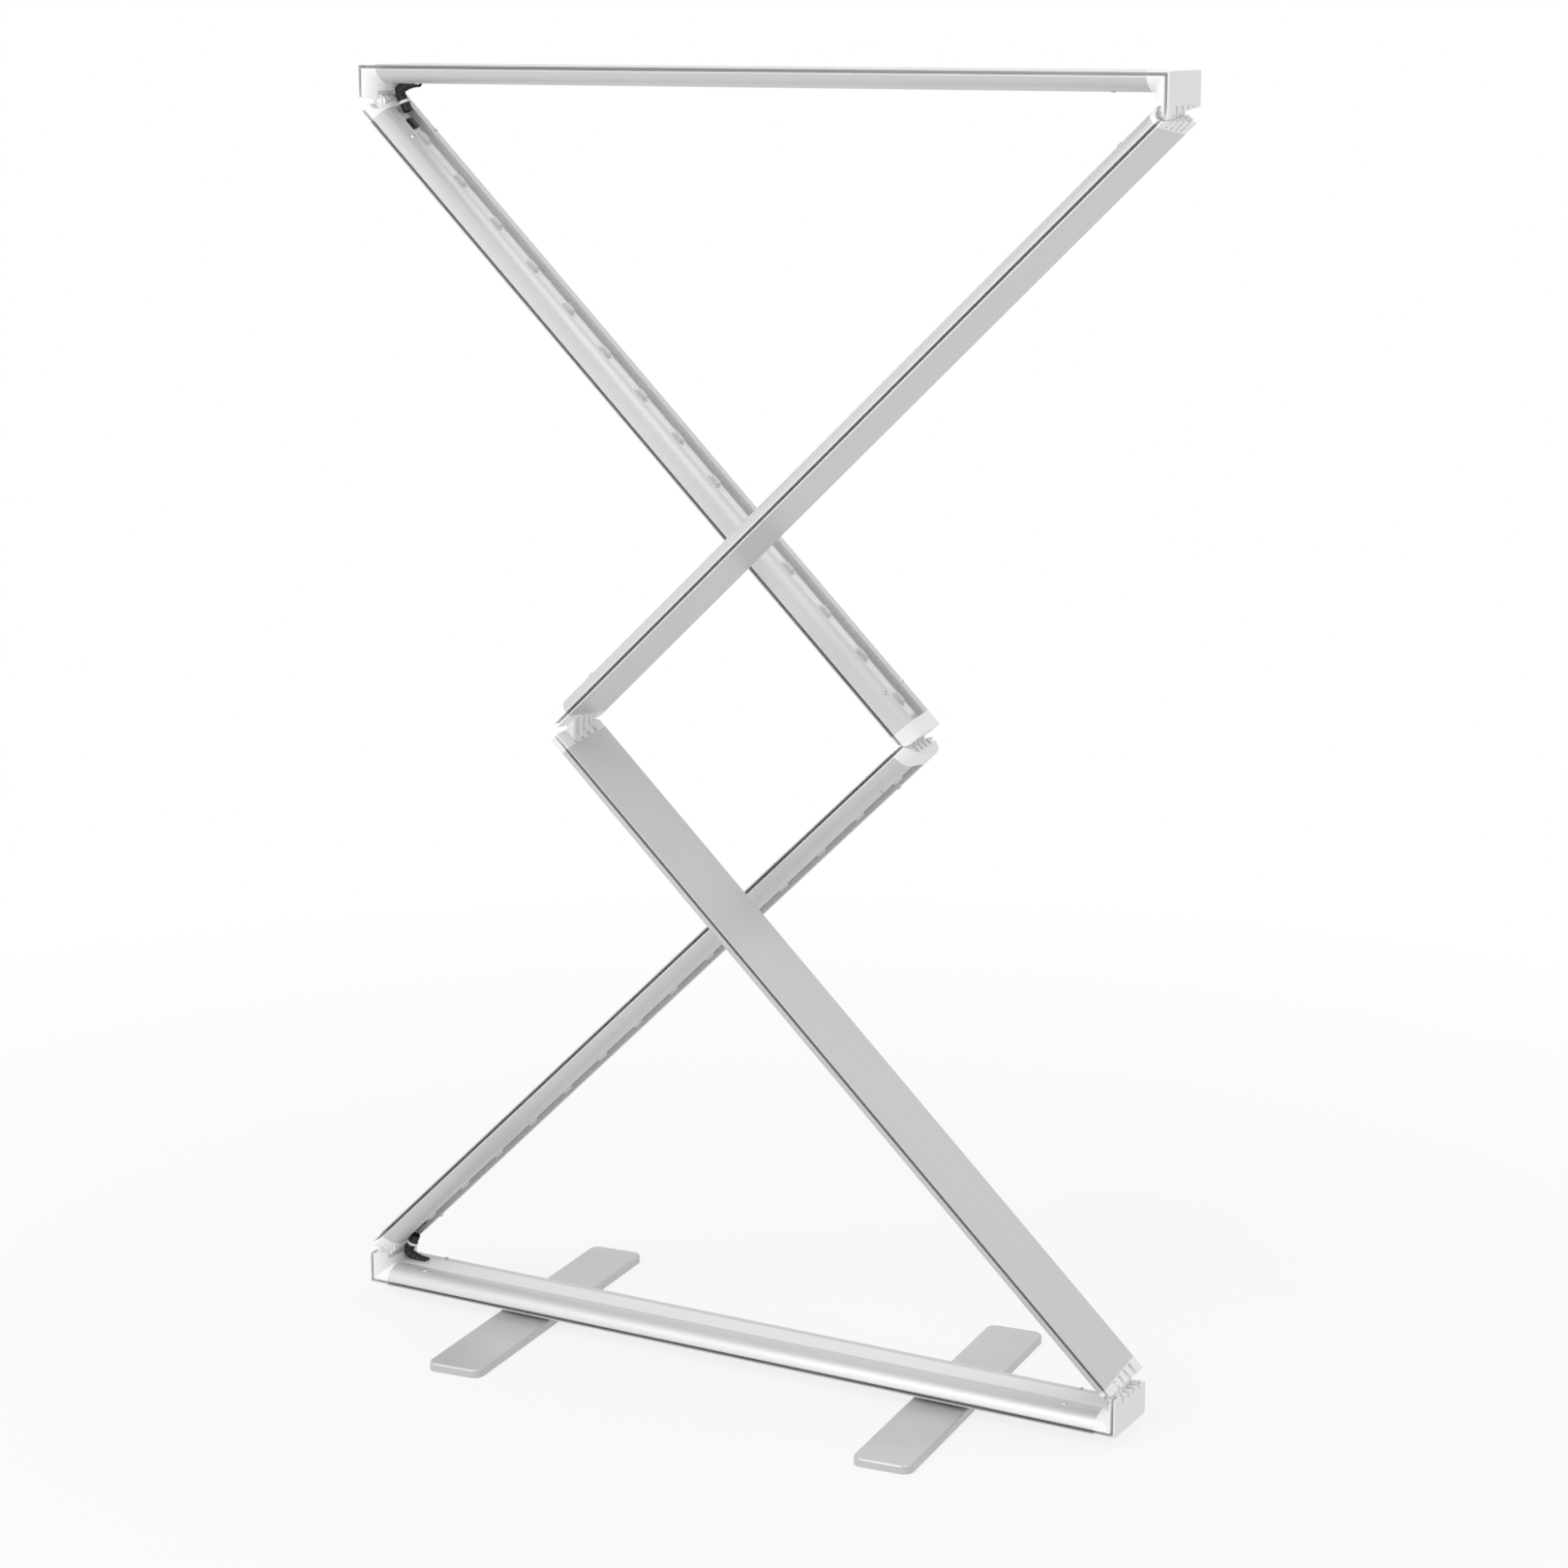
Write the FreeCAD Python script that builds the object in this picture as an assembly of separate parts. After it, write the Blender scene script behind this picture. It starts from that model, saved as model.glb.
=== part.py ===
import FreeCAD, Part
import math
import os

# Folding light box frame, shown half folded. Units are millimetres, +Z is up,
# +X runs right along the bottom rail and +Y runs to the back.
# Every piece is drawn in the open frame first, in the lower right quadrant.
# Turning and mirroring that quadrant gives the other three, and the last step
# swings each arm about its hinge pin to the half folded stance.
V = FreeCAD.Vector

# Overall frame
frame_width = 1000.0
frame_height = 2000.0
open_stance_low = 43.1
open_stance_high = 45.2
hinge_skew = 9.1

# Rail section: a flat outer wall, a groove at each edge for the fabric's edging,
# a rounded flank up to each crest and a trough between the crests
rail_depth = 85.0
rail_thick = 22.0
crest_inset = 25.0
flank_bulge = 4.4
lip_thick = 1.4
groove_wide = 3.6
groove_deep = 14.0
wall = 1.8
crest_wide = 1.8
trough_deep = 8.0

# Corner blocks, caps and their hinge
block_arm = 25.0
seam_height = 41.5
seam_drop = 3.75
seam_gap = 0.4
cap_end_height = 55.0
pin_inset = 14.0
pin_height = 42.0
pin_radius = 2.0
pin_clearance = 0.05
pin_short = 15.5
barrel_radius = 7.6
barrel_clearance = 0.4
fold_room = 12.0

# Fins of the hinge links
fin_count = 4
fin_edge = 20.3
fin_thick = 5.0
fin_slot_clearance = 0.25
fin_radius = 6.4
fin_top_radius = 4.0
fin_turn = 44.0
rivet_radius = 1.5
rivet_wall = 0.6

# Elbow: two pins in one link, each cap rounded about its own pin
elbow_pin_inset = 7.0
elbow_pin_from_seam = 14.0
elbow_end = 20.0
elbow_gap = 0.3
elbow_fin_radius = 5.4

# Tongues and screws that hold the caps and blocks in the rails
tongue_length = 52.0
tongue_clearance = 0.3
tongue_wide = 8.0
tongue_thick = 13.5
tongue_outer_gap = 2.2
screw_from_end = 44.0
screw_edge = 18.5
screw_shaft_radius = 1.5
screw_shaft_length = 6.0
screw_head_radius = 3.1
screw_crown_radius = 2.2
screw_head_thick = 1.2
screw_recess_radius = 1.2
screw_recess_deep = 0.7
screw_sides = 16

# Light strips in the troughs of the arms
board_wide = 16.0
board_thick = 1.6
board_end_gap = 6.0
lens_count = 14
lens_pitch = 65.2
lens_from_cap = 47.0
lens_long = 20.0
lens_wide = 12.0
lens_tall = 5.0
lens_shoulder = 1.5
lens_flats = 8
boot_wide = 9.0
boot_long = 14.0
boot_gap = 5.0
boot_thick = 5.0

# Cover strips of the top and bottom rails
cover_thick = 1.6
cover_fit = 0.3
cover_leg_thick = 1.2

# Feet
foot_inset = 220.0
foot_long = 430.0
foot_wide = 70.0
foot_thick = 10.0
foot_corner = 12.0
foot_edge = 2.5
foot_turn = 5.0
washer_thick = 4.0
washer_radius = 24.0
bolt_radius = 4.0
bolt_head_radius = 8.0
bolt_head_thick = 4.0
bolt_head_sunk = 0.8
bolt_fit = 0.08
bolt_reach = 8.0
socket_sides = 6

overrun = 1.0
facet_tolerance = 0.3
half_depth = rail_depth / 2
fin_pitch = (rail_depth - 2 * fin_edge) / (fin_count - 1)
pin_reach = half_depth - pin_short
fin_reach = barrel_radius + barrel_clearance + rivet_wall + rivet_radius
fin_lean = fin_reach * math.sin(math.radians(fin_turn))
fin_rise = fin_reach * math.cos(math.radians(fin_turn))
barrel_reach = pin_reach
screw_across = half_depth - screw_edge
foot_spread = frame_width / 2 - foot_inset
inner_lip = 2 * lip_thick + groove_wide
crest_from_middle = half_depth - crest_inset
trough_half = crest_from_middle - crest_wide
trough_floor = rail_thick - trough_deep
arm_end = frame_height / 2 - elbow_end
floor_to_frame = foot_thick + washer_thick
skew_sin = math.sin(math.radians(hinge_skew))
skew_cos = math.cos(math.radians(hinge_skew))
pin_axis = V(-skew_sin, skew_cos, 0)


# Section helpers: section points are (distance from the middle, height from the outer face)
def wire_from(points):
    """Closed wire; a three value entry is a point reached by an arc through its middle."""
    edges = []
    last = points[0]
    for item in points[1:] + [points[0]]:
        if len(item) == 2:
            edges.append(Part.LineSegment(V(0, last[0], last[1]), V(0, item[0], item[1])).toShape())
            last = item
        else:
            middle, end = item[0], item[1]
            arc = Part.Arc(V(0, last[0], last[1]), V(0, middle[0], middle[1]), V(0, end[0], end[1]))
            edges.append(arc.toShape())
            last = end
    return Part.Wire(edges)


def flank_middle(inset_foot, low, inset_top, high, bulge):
    """Middle point of the rounded flank between its foot and its crest."""
    run = inset_top - inset_foot
    rise = high - low
    length = math.hypot(run, rise)
    return (inset_foot + run / 2 - bulge * rise / length, low + rise / 2 + bulge * run / length)


def section_point(side, inset, height):
    """Section point this far in from the rail's edge, side -1 in front and +1 behind."""
    return (side * (half_depth - inset), height)


def flank_arc(side):
    """Arc entry for one rounded flank, from its lip up to its crest."""
    middle = flank_middle(0, inner_lip, crest_inset, rail_thick, flank_bulge)
    return (section_point(side, *middle), section_point(side, crest_inset, rail_thick), 0)


def envelope_face():
    """Full outline of the section, without grooves, trough or chambers."""
    points = [(half_depth, 0), (half_depth, inner_lip)]
    points.append(flank_arc(1))
    points.append((-crest_from_middle, rail_thick))
    middle = flank_middle(0, inner_lip, crest_inset, rail_thick, flank_bulge)
    points.append((section_point(-1, *middle), (-half_depth, inner_lip), 0))
    points.append((-half_depth, 0))
    return Part.Face(wire_from(points))


def chamber_wire(side):
    """Side chamber under one flank, bounded by the groove's floor and the trough's wall."""
    inner = crest_from_middle
    outer = half_depth - groove_deep - lip_thick
    toe = groove_deep / 2
    low = inner_lip + wall
    top = rail_thick - wall
    middle = flank_middle(toe, low, crest_inset - wall, top, flank_bulge * trough_deep / rail_thick)
    points = [(side * inner, wall), (side * outer, wall), (side * outer, inner_lip + lip_thick)]
    points.append(section_point(side, toe, inner_lip + lip_thick))
    points.append((section_point(side, *middle), (side * (inner + wall), top), 0))
    points.append((side * inner, top))
    return wire_from(points)


def section_face():
    """Extruded section with its trough, its three chambers and its grooves."""
    face = envelope_face()
    for side in (-1, 1):
        face = face.cut(Part.Face(chamber_wire(side)))
    core = [(-trough_half, wall), (trough_half, wall), (trough_half, trough_floor - wall),
            (-trough_half, trough_floor - wall)]
    face = face.cut(Part.Face(wire_from(core)))
    trough = [(-trough_half, trough_floor), (trough_half, trough_floor),
              (trough_half, rail_thick + overrun), (-trough_half, rail_thick + overrun)]
    face = face.cut(Part.Face(wire_from(trough)))
    for side in (-1, 1):
        far = side * (half_depth + overrun)
        near = side * (half_depth - groove_deep)
        groove = [(near, lip_thick), (far, lip_thick), (far, lip_thick + groove_wide),
                  (near, lip_thick + groove_wide)]
        face = face.cut(Part.Face(wire_from(groove)))
    return face


def lay_along(face, start, end):
    """Extrude a section along X, its outer face down, from start to end."""
    shape = face.extrude(V(end - start, 0, 0))
    shape.translate(V(start, 0, 0))
    return shape


def stand_up(shape):
    """Turn a shape drawn along X, outer face down, into the right side's upright:
    outer face to +X at half the frame's width, its length along +Z."""
    upright = shape.copy()
    upright.rotate(V(0, 0, 0), V(0, 1, 0), -90)
    upright.translate(V(frame_width / 2, 0, 0))
    return upright


def box(low, high):
    return Part.makeBox(high[0] - low[0], high[1] - low[1], high[2] - low[2], V(*low))


def skew_bar(center, radius, reach_front, reach_back):
    """Round bar along the hinge axis through a point at mid depth."""
    start = center - pin_axis * reach_front
    return Part.makeCylinder(radius, reach_front + reach_back, start, pin_axis)


def skew_plate(outline, middle, thick):
    """Plate square to the hinge axis, from (outward, up) points measured from a pin."""
    points = [V(0, 0, 0) + V(item[0] * skew_cos, item[0] * skew_sin, item[1]) for item in outline]
    face = Part.Face(Part.makePolygon(points + [points[0]]))
    plate = face.extrude(pin_axis * thick)
    plate.translate(middle - pin_axis * (thick / 2))
    return plate


def link_plate(first, first_radius, second, second_radius, offset, thick):
    """Rounded plate about two pins, first and second, at an offset along the axis."""
    start = pin_axis * (offset - thick / 2)
    lower = Part.makeCylinder(first_radius, thick, first + start, pin_axis)
    upper = Part.makeCylinder(second_radius, thick, second + start, pin_axis)
    along = second - first
    length = along.Length
    along.normalize()
    across = along.cross(pin_axis)
    lean = math.asin((first_radius - second_radius) / length)
    corners = []
    for side, point, radius in ((1, first, first_radius), (1, second, second_radius),
                                (-1, second, second_radius), (-1, first, first_radius)):
        normal = across * (side * math.cos(lean)) + along * math.sin(lean)
        corners.append(point + normal * radius + start)
    web = Part.Face(Part.makePolygon(corners + [corners[0]])).extrude(pin_axis * thick)
    return lower.fuse([upper, web]).removeSplitter()


def fin_offsets():
    first = -fin_pitch * (fin_count - 1) / 2
    return [first + fin_pitch * index for index in range(fin_count)]


def groove_cutters(start, end):
    """Front and back groove cutters for a straight stretch laid along X."""
    cutters = []
    for side in (-1, 1):
        edges = sorted((side * (half_depth - groove_deep), side * (half_depth + overrun)))
        cutters.append(box((start, edges[0], lip_thick), (end, edges[1], lip_thick + groove_wide)))
    return cutters


def tongues(start, end):
    """Pair of tongues that slide into the side chambers, laid along X."""
    pieces = []
    for side in (-1, 1):
        inner = crest_from_middle + tongue_clearance
        edges = sorted((side * inner, side * (inner + tongue_wide)))
        pieces.append(box((start, edges[0], tongue_outer_gap),
                          (end, edges[1], tongue_outer_gap + tongue_thick)))
    return pieces


# The screws stand square to the flank, at one place along a rail laid along X
def flank_height_at(across):
    """Height of the flank's surface over a point this far from the middle."""
    middle = flank_middle(0, inner_lip, crest_inset, rail_thick, flank_bulge)
    arc = Part.Arc(V(0, 0, inner_lip), V(0, middle[0], middle[1]), V(0, crest_inset, rail_thick))
    circle = arc.toShape().Curve
    run = half_depth - across - circle.Center.y
    return circle.Center.z + math.sqrt(circle.Radius ** 2 - run ** 2), circle.Center


def screw_frame(along, side):
    height, center = flank_height_at(screw_across)
    foot = V(along, side * screw_across, height)
    hub = V(along, side * (half_depth - center.y), center.z)
    normal = foot - hub
    normal.normalize()
    return foot, normal


def screw_ring(center, normal, radius):
    """Many sided ring about a screw's axis."""
    across = normal.cross(V(1, 0, 0))
    other = normal.cross(across)
    turns = [2 * math.pi * step / screw_sides for step in range(screw_sides)]
    points = [center + across * (radius * math.cos(turn)) + other * (radius * math.sin(turn)) for turn in turns]
    return Part.makePolygon(points + [points[0]])


def screw_at(along, side):
    foot, normal = screw_frame(along, side)
    crown = foot + normal * screw_head_thick
    tip = foot - normal * screw_shaft_length
    shaft = Part.Face(screw_ring(tip, normal, screw_shaft_radius)).extrude(normal * screw_shaft_length)
    head = Part.makeLoft([screw_ring(foot, normal, screw_head_radius),
                          screw_ring(crown, normal, screw_crown_radius)], True, True)
    recess = Part.Face(screw_ring(crown, normal, screw_recess_radius)).extrude(normal * -screw_recess_deep)
    return shaft.fuse(head).cut(recess)


def screw_hole(along, side):
    foot, normal = screw_frame(along, side)
    return Part.makeCylinder(screw_shaft_radius, screw_shaft_length + overrun,
                             foot - normal * screw_shaft_length, normal)


def screws_along(places):
    return Part.makeCompound([screw_at(place, side) for place in places for side in (-1, 1)])


def drill(shape, places):
    return shape.cut([screw_hole(place, side) for place in places for side in (-1, 1)])


# Points of the lower right quadrant in the open frame
corner_pin = V(frame_width / 2 - pin_inset, 0, pin_height)
elbow_pin = V(frame_width / 2 - elbow_pin_inset, 0, frame_height / 2 - elbow_pin_from_seam)
elbow_pin_far = V(elbow_pin.x, 0, frame_height / 2 + elbow_pin_from_seam)


def seam_cutter(above):
    """Everything above, or below, the sloped seam between a corner block and its cap."""
    reach = half_depth + overrun
    rise = seam_drop * reach / half_depth
    shift = seam_gap if not above else -seam_gap
    far = rail_thick * 2
    end = pin_height + cap_end_height if above else -pin_height
    low = frame_width / 2 - far
    points = [V(low, -reach, seam_height + rise + shift), V(low, reach, seam_height - rise + shift),
              V(low, reach, end), V(low, -reach, end)]
    face = Part.Face(Part.makePolygon(points + [points[0]]))
    return face.extrude(V(far + overrun, 0, 0))


def corner_block():
    """Moulded corner: a stub of the bottom rail, a short leg and the hinge barrel."""
    solid_face = envelope_face()
    stub = lay_along(solid_face, frame_width / 2 - block_arm, frame_width / 2)
    leg = stand_up(lay_along(solid_face, 0, seam_height + seam_drop + overrun))
    leg = leg.cut(seam_cutter(True))
    room = skew_plate([(-rail_thick, -fold_room), (0, -fold_room), (0, fold_room), (-rail_thick, fold_room)],
                      corner_pin, rail_depth * 2)
    leg = leg.cut(room)
    barrel = skew_bar(corner_pin, barrel_radius, barrel_reach, barrel_reach)
    mould = stand_up(lay_along(solid_face, 0, pin_height + rail_thick))
    barrel = barrel.common(mould)
    foot = skew_plate([(-barrel_radius, -fold_room), (0, -fold_room), (0, 0), (-barrel_radius, 0)],
                      corner_pin, 2 * barrel_reach).common(mould)
    foot = foot.common(skew_bar(corner_pin, barrel_radius, barrel_reach, barrel_reach))
    block = stub.fuse([leg, barrel, foot]).removeSplitter()
    for offset in fin_offsets():
        block = block.cut(fin_slot(offset))
    block = block.cut(skew_bar(corner_pin, pin_radius, 2 * pin_reach, pin_reach))
    grooves = groove_cutters(frame_width / 2 - block_arm - overrun, frame_width / 2 - lip_thick)
    high = seam_height + seam_drop + 2 * overrun
    uprights = [stand_up(cutter) for cutter in groove_cutters(lip_thick, high)]
    block = block.cut(grooves + uprights)
    keys = tongues(frame_width / 2 - block_arm - tongue_length, frame_width / 2 - block_arm)
    block = block.fuse(keys).removeSplitter()
    return drill(block, [frame_width / 2 - block_arm - screw_from_end])


def fin_slot(offset):
    """Slot in the block for one fin: round about the pin and open to the outer face."""
    wide = fin_thick + 2 * fin_slot_clearance
    room = fin_radius + barrel_clearance
    center = corner_pin + pin_axis * offset
    start = center - pin_axis * (wide / 2)
    disc = Part.makeCylinder(room, wide, start, pin_axis)
    back = -barrel_radius - barrel_clearance
    mouth = skew_plate([(back, -room), (rail_thick, -room), (rail_thick, rail_thick), (back, rail_thick)],
                       center, wide)
    return disc.fuse(mouth)


def cap_slot(offset):
    """Slot in the cap that holds the upper end of one fin."""
    wide = fin_thick + 2 * fin_slot_clearance
    center = corner_pin + pin_axis * offset
    top = fin_rise + fin_top_radius + fin_slot_clearance
    low = fin_lean - fin_top_radius - fin_slot_clearance
    mouth = skew_plate([(low, -rail_thick), (rail_thick, -rail_thick), (rail_thick, top), (low, top)],
                       center, wide)
    around = link_plate(corner_pin, fin_radius + fin_slot_clearance, upper_fin_pin(),
                        fin_top_radius + fin_slot_clearance, offset, wide)
    return mouth.fuse(around)


def upper_fin_pin():
    return corner_pin + V(fin_lean * skew_cos, fin_lean * skew_sin, fin_rise)


def corner_cap():
    """Cap between a corner block's barrel and the end of an arm's rail."""
    cap = stand_up(lay_along(envelope_face(), seam_height - 2 * seam_drop, cap_end_height))
    cap = cap.cut(seam_cutter(False))
    clear = barrel_radius + barrel_clearance
    cap = cap.cut(skew_bar(corner_pin, clear, rail_depth, rail_depth))
    shoulder = skew_plate([(-rail_thick, -rail_thick), (0, -rail_thick), (0, 0), (-rail_thick, 0)],
                          corner_pin, 2 * rail_depth)
    cap = cap.cut(shoulder)
    for offset in fin_offsets():
        cap = cap.cut(cap_slot(offset))
    cap = cap.cut(skew_bar(upper_fin_pin(), rivet_radius, pin_reach, pin_reach))
    high = cap_end_height + overrun
    cap = cap.cut([stand_up(cutter) for cutter in groove_cutters(0, high)])
    keys = [stand_up(key) for key in tongues(cap_end_height, cap_end_height + tongue_length)]
    cap = cap.fuse(keys).removeSplitter()
    holes = [stand_up(screw_hole(cap_end_height + screw_from_end, side)) for side in (-1, 1)]
    return cap.cut(holes)


def corner_fins():
    """Four fins that join a cap to the pin in its corner block."""
    fins = []
    hole = skew_bar(corner_pin, pin_radius + pin_clearance, rail_depth, rail_depth)
    rivet = skew_bar(upper_fin_pin(), rivet_radius, rail_depth, rail_depth)
    for offset in fin_offsets():
        fin = link_plate(corner_pin, fin_radius, upper_fin_pin(), fin_top_radius, offset, fin_thick)
        fins.append(fin.cut([hole, rivet]))
    return Part.makeCompound(fins)


def corner_pin_piece():
    return skew_bar(corner_pin, pin_radius, pin_reach, pin_reach)


def fin_rivet():
    return skew_bar(upper_fin_pin(), rivet_radius, pin_reach, pin_reach)


def elbow_cap():
    """Cap at the elbow end of an arm, rounded about its own pin of the link."""
    cap = stand_up(lay_along(envelope_face(), arm_end, frame_height / 2 - elbow_gap))
    round_end = elbow_pin_from_seam - elbow_gap
    corner = skew_plate([(0, 0), (rail_thick, 0), (rail_thick, rail_thick), (0, rail_thick)],
                        elbow_pin, 2 * rail_depth)
    corner = corner.cut(skew_bar(elbow_pin, round_end, rail_depth, rail_depth))
    cap = cap.cut(corner)
    wide = fin_thick + 2 * fin_slot_clearance
    room = elbow_fin_radius + fin_slot_clearance
    for offset in fin_offsets():
        center = elbow_pin + pin_axis * offset
        disc = Part.makeCylinder(room, wide, center - pin_axis * (wide / 2), pin_axis)
        mouth = skew_plate([(-room, 0), (0, 0), (0, -room), (rail_thick, -room), (rail_thick, rail_thick),
                            (-room, rail_thick)], center, wide)
        cap = cap.cut(disc.fuse(mouth))
    cap = cap.cut(skew_bar(elbow_pin, pin_radius, pin_reach, pin_reach))
    cap = cap.cut([stand_up(cutter) for cutter in groove_cutters(arm_end - overrun, frame_height / 2)])
    keys = [stand_up(key) for key in tongues(arm_end - tongue_length, arm_end)]
    cap = cap.fuse(keys).removeSplitter()
    holes = [stand_up(screw_hole(arm_end - screw_from_end, side)) for side in (-1, 1)]
    return cap.cut(holes)


def elbow_link():
    """Four plates that carry both elbow pins, flush with the outer face when open."""
    outside = box((frame_width / 2, -rail_depth, 0),
                  (frame_width / 2 + rail_thick, rail_depth, frame_height))
    outside.translate(V(-fin_slot_clearance, 0, 0))
    plates = []
    holes = [skew_bar(pin, pin_radius + pin_clearance, rail_depth, rail_depth)
             for pin in (elbow_pin, elbow_pin_far)]
    for offset in fin_offsets():
        plate = link_plate(elbow_pin, elbow_fin_radius, elbow_pin_far, elbow_fin_radius, offset, fin_thick)
        plates.append(plate.cut(holes + [outside]))
    return Part.makeCompound(plates)


def elbow_pin_piece():
    return skew_bar(elbow_pin, pin_radius, pin_reach, pin_reach)


# Straight pieces of an arm, drawn standing in the lower right quadrant
def arm_rail():
    rail = stand_up(lay_along(section_face(), cap_end_height, arm_end))
    places = [cap_end_height + screw_from_end, arm_end - screw_from_end]
    return rail.cut([stand_up(screw_hole(place, side)) for place in places for side in (-1, 1)])


def arm_screws():
    places = [cap_end_height + screw_from_end, arm_end - screw_from_end]
    return stand_up(screws_along(places))


def light_board():
    board = box((cap_end_height + board_end_gap, -board_wide / 2, trough_floor),
                (arm_end - board_end_gap, board_wide / 2, trough_floor + board_thick))
    return stand_up(board)


def lens_places():
    first = cap_end_height + lens_from_cap
    return [first + lens_pitch * index for index in range(lens_count)]


def stadium(straight, radius, height):
    """Outline of a straight stretch with round ends, in short flats, at a height."""
    points = []
    for side in (1, -1):
        for step in range(lens_flats + 1):
            turn = math.pi * (step / lens_flats - 1 / 2)
            points.append(V(side * (straight / 2 + radius * math.cos(turn)),
                            side * radius * math.sin(turn), height))
    return Part.makePolygon(points + [points[0]])


def light_lenses():
    """Oval domes over the light strip's diodes, cut flat where they sit on the board."""
    outlines = []
    for narrowing, height in ((0, 0), (lens_shoulder, lens_shoulder), (lens_wide / 3, lens_tall)):
        radius = lens_wide / 2 - narrowing
        outlines.append(stadium(lens_long - lens_wide, radius, height))
    dome = Part.makeLoft(outlines, True, True)
    lenses = []
    for place in lens_places():
        lens = dome.copy()
        lens.translate(V(place, 0, trough_floor + board_thick))
        lenses.append(lens)
    return stand_up(Part.makeCompound(lenses))


def cable_boot():
    """Rubber boot over the cable end of a light strip."""
    end = lens_places()[0] - lens_long / 2 - boot_gap
    low = trough_floor + board_thick
    boot = box((end - boot_long, -boot_wide / 2, low), (end, boot_wide / 2, low + boot_thick))
    edges = [edge for edge in boot.Edges if edge.BoundBox.ZMin > low]
    return stand_up(boot.makeFillet(boot_thick / 3, edges))


# The bottom rail and its fittings; the top rail is the same piece mirrored
def cross_rail():
    half = frame_width / 2 - block_arm
    rail = lay_along(section_face(), -half, half)
    return drill(rail, [half - screw_from_end, screw_from_end - half])


def bottom_rail():
    holes = [Part.makeCylinder(bolt_radius, trough_floor - wall, V(place, 0, 0))
             for place in (-foot_spread, foot_spread)]
    return cross_rail().cut(holes)


def cross_screws():
    half = frame_width / 2 - block_arm
    return screws_along([half - screw_from_end, screw_from_end - half])


def cover_strip():
    """Flat strip that snaps into the trough, its top level with the crests."""
    half = frame_width / 2 - block_arm
    edge = trough_half - cover_fit
    strip = box((-half, -edge, rail_thick - cover_thick), (half, edge, rail_thick))
    legs = []
    for side in (-1, 1):
        sides = sorted((side * edge, side * (edge - cover_leg_thick)))
        legs.append(box((-half, sides[0], trough_floor), (half, sides[1], rail_thick - cover_thick)))
    return strip.fuse(legs).removeSplitter()


# Feet, in the frame's own coordinates with the bottom rail's outer face at zero
def foot(place):
    low = -floor_to_frame
    bar = box((place - foot_wide / 2, -foot_long / 2, low),
              (place + foot_wide / 2, foot_long / 2, low + foot_thick))
    upright = [edge for edge in bar.Edges if edge.BoundBox.ZLength > foot_thick / 2]
    bar = bar.makeFillet(foot_corner, upright)
    rim = [edge for edge in bar.Edges if edge.BoundBox.ZMin > low + foot_thick / 2]
    bar = bar.makeFillet(foot_edge, rim)
    bore = Part.makeCylinder(bolt_radius + bolt_fit, foot_thick, V(place, 0, low))
    sunk = bolt_head_thick + bolt_head_sunk
    sink = Part.makeCylinder(bolt_head_radius + bolt_head_sunk, sunk, V(place, 0, low))
    bar = bar.cut([bore, sink])
    bar.rotate(V(place, 0, 0), V(0, 0, 1), foot_turn)
    return bar


def foot_bolt(place):
    low = -floor_to_frame + bolt_head_sunk
    head = Part.makeCylinder(bolt_head_radius, bolt_head_thick, V(place, 0, low))
    shank = Part.makeCylinder(bolt_radius, bolt_reach - low, V(place, 0, low))
    socket_deep = bolt_head_thick * 2 / 3
    turns = [2 * math.pi * step / socket_sides for step in range(socket_sides)]
    points = [V(place + bolt_radius * math.cos(turn), bolt_radius * math.sin(turn), low) for turn in turns]
    socket = Part.Face(Part.makePolygon(points + [points[0]])).extrude(V(0, 0, socket_deep))
    return head.fuse(shank).cut(socket).removeSplitter()


def foot_washer(place):
    washer = Part.makeCylinder(washer_radius, washer_thick, V(place, 0, -washer_thick))
    return washer.cut(Part.makeCylinder(bolt_radius, washer_thick, V(place, 0, -washer_thick)))


def foot_nut(place):
    nut = Part.makeCylinder(bolt_head_radius, bolt_reach - wall, V(place, 0, wall))
    return nut.cut(Part.makeCylinder(bolt_radius, bolt_reach, V(place, 0, 0)))


def both_feet(piece):
    return Part.makeCompound([piece(-foot_spread), piece(foot_spread)])


# Quadrants: the lower right one is drawn, the others are turned or mirrored copies
def to_upper(shape):
    return shape.mirror(V(0, 0, frame_height / 2), V(0, 0, 1))


def to_left(shape):
    turned = shape.copy()
    turned.rotate(V(0, 0, 0), V(0, 0, 1), 180)
    return turned


def in_quadrant(item, upper, left):
    if isinstance(item, V):
        height = frame_height - item.z if upper else item.z
        side = -1 if left else 1
        return V(side * item.x, side * item.y, height)
    if upper:
        item = to_upper(item)
    return to_left(item) if left else item


# Half folded stance: each body is turned by an angle about the hinge axis
def carried(joint_open, joint_now, angle):
    """Placement that turns a body by an angle and takes its joint point to a new place."""
    turn = FreeCAD.Rotation(pin_axis, angle)
    return FreeCAD.Placement(joint_now - turn.multVec(joint_open), turn)


def arm_chain(left):
    """Placements and joint points of one side's arms and link, from the bottom up."""
    low_angle = open_stance_high if left else -open_stance_low
    high_angle = -open_stance_low if left else open_stance_high
    link_angle = (low_angle + high_angle) / 2
    foot_point = in_quadrant(corner_pin, False, left)
    lower_elbow = in_quadrant(elbow_pin, False, left)
    upper_elbow = in_quadrant(elbow_pin, True, left)
    top_point = in_quadrant(corner_pin, True, left)
    lower = carried(foot_point, foot_point, low_angle)
    link = carried(lower_elbow, lower.multVec(lower_elbow), link_angle)
    upper = carried(upper_elbow, link.multVec(upper_elbow), high_angle)
    joints = [foot_point, lower.multVec(lower_elbow), link.multVec(upper_elbow), upper.multVec(top_point)]
    return {"lower": lower, "link": link, "upper": upper}, joints


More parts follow.
